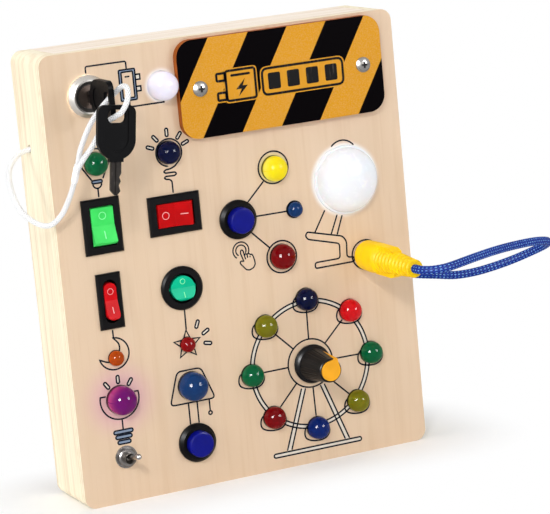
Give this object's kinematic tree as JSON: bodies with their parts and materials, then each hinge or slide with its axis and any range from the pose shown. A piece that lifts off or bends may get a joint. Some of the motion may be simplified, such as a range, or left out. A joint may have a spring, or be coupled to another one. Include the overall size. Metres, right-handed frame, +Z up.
{
  "type": "wooden busy board",
  "caption": "Shallow wooden box whose front panel carries rocker switches, push buttons, a toggle, a rotary selector, a key lock, a plug lead and small lamps.",
  "frame": {"origin": "middle of the face that the board stands on, between its front and back faces", "axes": "+X to the right as seen from the front, +Y from the front face to the back, +Z up"},
  "size_m": [0.2921, 0.1147, 0.235],
  "materials": {
    "plywood": "fine sanded, clear",
    "pine_rail": "fine sanded, clear",
    "back_board": "plain board",
    "plate_board": "painted in yellow and black diagonal bands",
    "screw_steel": "zinc plated",
    "nut_steel": "nickel plated",
    "holder_plastic": "moulded",
    "contact_steel": "nickel plated",
    "cell_case": "plain printed jacket",
    "nickel": "polished nickel",
    "cylinder_metal": "worn, brown tinted",
    "key_steel": "bright",
    "key_plastic": "moulded, satin",
    "white_cord": "braided",
    "blue_cord": "braided, flecked",
    "black_plastic": "moulded, satin",
    "green_plastic": "glossy, lit from inside",
    "red_plastic": "glossy, lit from inside",
    "crimson_plastic": "glossy",
    "emerald_plastic": "glossy",
    "blue_plastic": "glossy",
    "toggle_case": "moulded",
    "lever_chrome": "polished",
    "shaft_aluminium": "turned",
    "knob_plastic": "satin",
    "pointer_plastic": "smooth",
    "white_lens": "diffuse lens, lit",
    "green_lens": "tinted lens",
    "navy_lens": "tinted lens",
    "yellow_lens": "tinted lens, lit",
    "blue_lens": "tinted lens",
    "dark_red_lens": "tinted lens",
    "red_lens": "tinted lens",
    "orange_lens": "tinted lens",
    "purple_lens": "tinted lens, lit",
    "olive_lens": "tinted lens",
    "dome_lens": "diffuse dome, lit",
    "yellow_vinyl": "moulded soft vinyl",
    "wire_vinyl": "insulated"
  },
  "bodies": {
    "board": {"front_panel": "plywood", "left_rail": "pine_rail", "right_rail": "pine_rail", "top_rail": "pine_rail", "bottom_rail": "pine_rail", "back_panel": "back_board", "screws": "screw_steel", "battery_holder": "holder_plastic", "battery_contacts": "contact_steel", "batteries": "cell_case", "cover_plate": "plate_board", "panel_nuts": "nut_steel", "lock_body": "nickel", "spare_key_blade": "key_steel", "spare_key_bow": "key_plastic", "key_cord": "white_cord", "key_cord_knot": "white_cord", "green_rocker_housing": "black_plastic", "red_rocker_housing": "black_plastic", "narrow_rocker_housing": "black_plastic", "round_rocker_housing": "black_plastic", "upper_button_housing": "black_plastic", "lower_button_housing": "black_plastic", "toggle_body": "toggle_case", "toggle_nut": "nut_steel", "rotary_body": "nut_steel", "power_lamp": "white_lens", "green_bulb_lamp": "green_lens", "navy_bulb_lamp": "navy_lens", "yellow_lamp": "yellow_lens", "small_blue_lamp": "blue_lens", "dark_red_lamp": "dark_red_lens", "moon_lamp": "orange_lens", "star_lamp": "orange_lens", "purple_lamp": "purple_lens", "table_lamp": "navy_lens", "dome_lamp": "dome_lens", "wheel_lamps_blue": "navy_lens", "wheel_lamps_red": "red_lens", "wheel_lamps_green": "green_lens", "wheel_lamps_olive": "olive_lens", "jack_socket": "nickel", "plug_cord": "blue_cord", "wiring": "wire_vinyl"},
    "key": {"lock_cylinder": "cylinder_metal", "key_blade": "key_steel", "key_bow": "key_plastic"},
    "green_rocker": {"green_rocker_paddle": "green_plastic"},
    "red_rocker": {"red_rocker_paddle": "red_plastic"},
    "narrow_rocker": {"narrow_rocker_paddle": "crimson_plastic"},
    "round_rocker": {"round_rocker_paddle": "emerald_plastic"},
    "upper_button": {"upper_button_cap": "blue_plastic"},
    "lower_button": {"lower_button_cap": "blue_plastic"},
    "toggle": {"toggle_lever": "lever_chrome"},
    "knob": {"rotary_shaft": "shaft_aluminium", "knob": "knob_plastic", "knob_pointer": "pointer_plastic"},
    "plug": {"plug_grip": "yellow_vinyl", "plug_pin": "nickel"}
  },
  "joints": [
    {"name": "key_turn", "type": "hinge", "parent": "board", "child": "key", "pos_m": [-0.0745, -0.021, 0.212], "axis": [0, 1, 0], "range_deg": [-90, 0], "deforming": ["key_cord"]},
    {"name": "green_rocker_tilt", "type": "hinge", "parent": "board", "child": "green_rocker", "pos_m": [-0.0745, -0.0202, 0.1455], "axis": [1, 0, 0], "range_deg": [0, 20]},
    {"name": "red_rocker_tilt", "type": "hinge", "parent": "board", "child": "red_rocker", "pos_m": [-0.0345, -0.0202, 0.1455], "axis": [0, 0, 1], "range_deg": [0, 20]},
    {"name": "narrow_rocker_tilt", "type": "hinge", "parent": "board", "child": "narrow_rocker", "pos_m": [-0.0745, -0.0202, 0.1065], "axis": [1, 0, 0], "range_deg": [0, 20]},
    {"name": "round_rocker_tilt", "type": "hinge", "parent": "board", "child": "round_rocker", "pos_m": [-0.0345, -0.0202, 0.1065], "axis": [1, 0, 0], "range_deg": [0, 20]},
    {"name": "upper_button_press", "type": "slide", "parent": "board", "child": "upper_button", "axis": [0, 1, 0], "range_m": [0, 0.0025], "stiffness_N_per_m": 300, "springref_m": -0.002},
    {"name": "lower_button_press", "type": "slide", "parent": "board", "child": "lower_button", "axis": [0, 1, 0], "range_m": [0, 0.0025], "stiffness_N_per_m": 300, "springref_m": -0.002},
    {"name": "toggle_flip", "type": "hinge", "parent": "board", "child": "toggle", "pos_m": [-0.0745, -0.0236, 0.024], "axis": [1, 0, 0], "range_deg": [0, 26]},
    {"name": "knob_turn", "type": "hinge", "parent": "board", "child": "knob", "pos_m": [0.035, -0.021, 0.0537], "axis": [0, 1, 0], "range_deg": [-33, 282]},
    {"name": "plug_pull", "type": "slide", "parent": "board", "child": "plug", "axis": [0, -1, 0], "range_m": [0, 0.016], "deforming": ["plug_cord"]}
  ]
}
